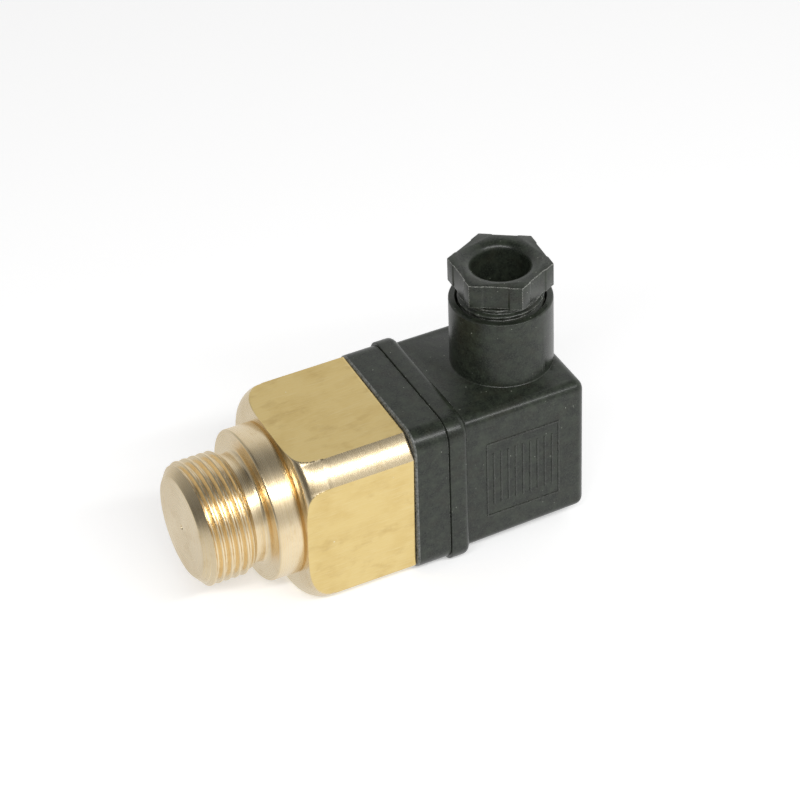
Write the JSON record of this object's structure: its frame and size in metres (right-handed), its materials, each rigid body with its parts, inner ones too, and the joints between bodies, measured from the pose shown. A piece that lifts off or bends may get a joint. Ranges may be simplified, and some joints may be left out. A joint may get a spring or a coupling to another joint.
{
  "type": "pressure switch",
  "caption": "Screw-in brass pressure switch with a square body, snap-action contacts and a plug-on angled cable socket with a screwed cable gland.",
  "frame": {"origin": "in the plane of the socket flange's underside, under the middle of the part's length and width; the port axis runs 15.16 mm above it, and the centre of the collar's sealing face is at x -23.235 mm on that axis", "axes": "+X along the port axis from the port towards the cable socket; +Z towards the mouth of the cable gland; -Y is the side with the ribbed panel"},
  "size_m": [0.0706, 0.0304, 0.0492],
  "materials": {
    "brass_body": "turned and milled, bright",
    "brass_contacts": "stamped, bright",
    "plated_steel": "zinc plated",
    "spring_steel": "drawn, oiled",
    "tinned_pins": "tinned",
    "black_nylon": "glass-filled nylon, moulded",
    "grey_plastic": "moulded",
    "switch_case_red": "moulded",
    "rubber_seals": "moulded",
    "diaphragm_film": "polyimide film",
    "lead_insulation": "wire insulation"
  },
  "bodies": {
    "switch_body": {"brass_body": "brass_body", "diaphragm": "diaphragm_film", "guide_bush": "plated_steel", "range_spring": "spring_steel", "switch_case": "switch_case_red", "switch_cover": "grey_plastic", "common_terminal": "brass_contacts", "closed_contact": "brass_contacts", "open_contact": "brass_contacts", "plug_base": "black_nylon", "base_seal": "rubber_seals", "base_screw_1": "plated_steel", "base_screw_2": "plated_steel", "base_screw_3": "plated_steel", "base_screw_4": "plated_steel", "contact_pin_1": "tinned_pins", "contact_pin_2": "tinned_pins", "contact_pin_3": "tinned_pins", "earth_pin": "tinned_pins", "nut_insert": "brass_contacts", "common_lead": "lead_insulation", "open_lead": "lead_insulation", "closed_lead": "lead_insulation"},
    "piston_body": {"piston": "plated_steel", "push_rod": "spring_steel", "switch_plunger": "grey_plastic"},
    "blade_body": {"snap_blade": "spring_steel"},
    "spring_seat_body": {"upper_spring_seat": "plated_steel"},
    "adjuster_body": {"adjusting_ring": "brass_contacts"},
    "socket_body": {"socket_housing": "black_nylon", "flat_gasket": "rubber_seals", "terminal_block": "grey_plastic", "socket_contact_1": "brass_contacts", "socket_contact_2": "brass_contacts", "socket_contact_3": "brass_contacts", "socket_contact_4": "brass_contacts", "terminal_screw_1": "plated_steel", "terminal_screw_2": "plated_steel", "terminal_screw_3": "plated_steel", "terminal_screw_4": "plated_steel", "grommet": "rubber_seals"},
    "screw_washer_body": {"screw_washer": "rubber_seals"},
    "fixing_screw_body": {"fixing_screw": "plated_steel"},
    "gland_washer_body": {"gland_washer": "plated_steel"},
    "gland_nut_body": {"gland_nut": "black_nylon"}
  },
  "joints": [
    {"name": "diaphragm_stroke", "type": "slide", "parent": "switch_body", "child": "piston_body", "axis": [1, 0, 0], "range_m": [0, 0.00045], "deforming": ["range_spring"]},
    {"name": "snap_blade_pivot", "type": "hinge", "parent": "switch_body", "child": "blade_body", "pos_m": [0.00167, 0, 0.01036], "axis": [0, 1, 0], "range_deg": [0, 6]},
    {"name": "adjuster_travel", "type": "slide", "parent": "switch_body", "child": "spring_seat_body", "axis": [1, 0, 0], "range_m": [-0.000375, 0.000375], "deforming": ["range_spring"]},
    {"name": "adjuster_turn", "type": "hinge", "parent": "spring_seat_body", "child": "adjuster_body", "pos_m": [-0.00344, 0, 0.01516], "axis": [1, 0, 0], "range_deg": [-182, 182]},
    {"name": "socket_unplug", "type": "slide", "parent": "switch_body", "child": "socket_body", "axis": [1, 0, 0], "range_m": [0, 0.03]},
    {"name": "fixing_screw_travel", "type": "slide", "parent": "socket_body", "child": "screw_washer_body", "axis": [1, 0, 0], "range_m": [0, 0.0035]},
    {"name": "fixing_screw_turn", "type": "hinge", "parent": "screw_washer_body", "child": "fixing_screw_body", "pos_m": [0.03077, 0, 0.01516], "axis": [1, 0, 0], "range_deg": [0, 2530]},
    {"name": "gland_travel", "type": "slide", "parent": "socket_body", "child": "gland_washer_body", "axis": [0, 0, 1], "range_m": [-0.0014, 0.0042]},
    {"name": "gland_turn", "type": "hinge", "parent": "gland_washer_body", "child": "gland_nut_body", "pos_m": [0.02627, 0, 0.04516], "axis": [0, 0, 1], "range_deg": [-360, 1080]}
  ],
  "couplings": [
    {"joint": "snap_blade_pivot", "follows": "diaphragm_stroke", "rad_per_m": 208.33},
    {"joint": "adjuster_turn", "follows": "adjuster_travel", "rad_per_m": 8377.6},
    {"joint": "fixing_screw_turn", "follows": "fixing_screw_travel", "rad_per_m": 12566},
    {"joint": "gland_turn", "follows": "gland_travel", "rad_per_m": 4453}
  ]
}
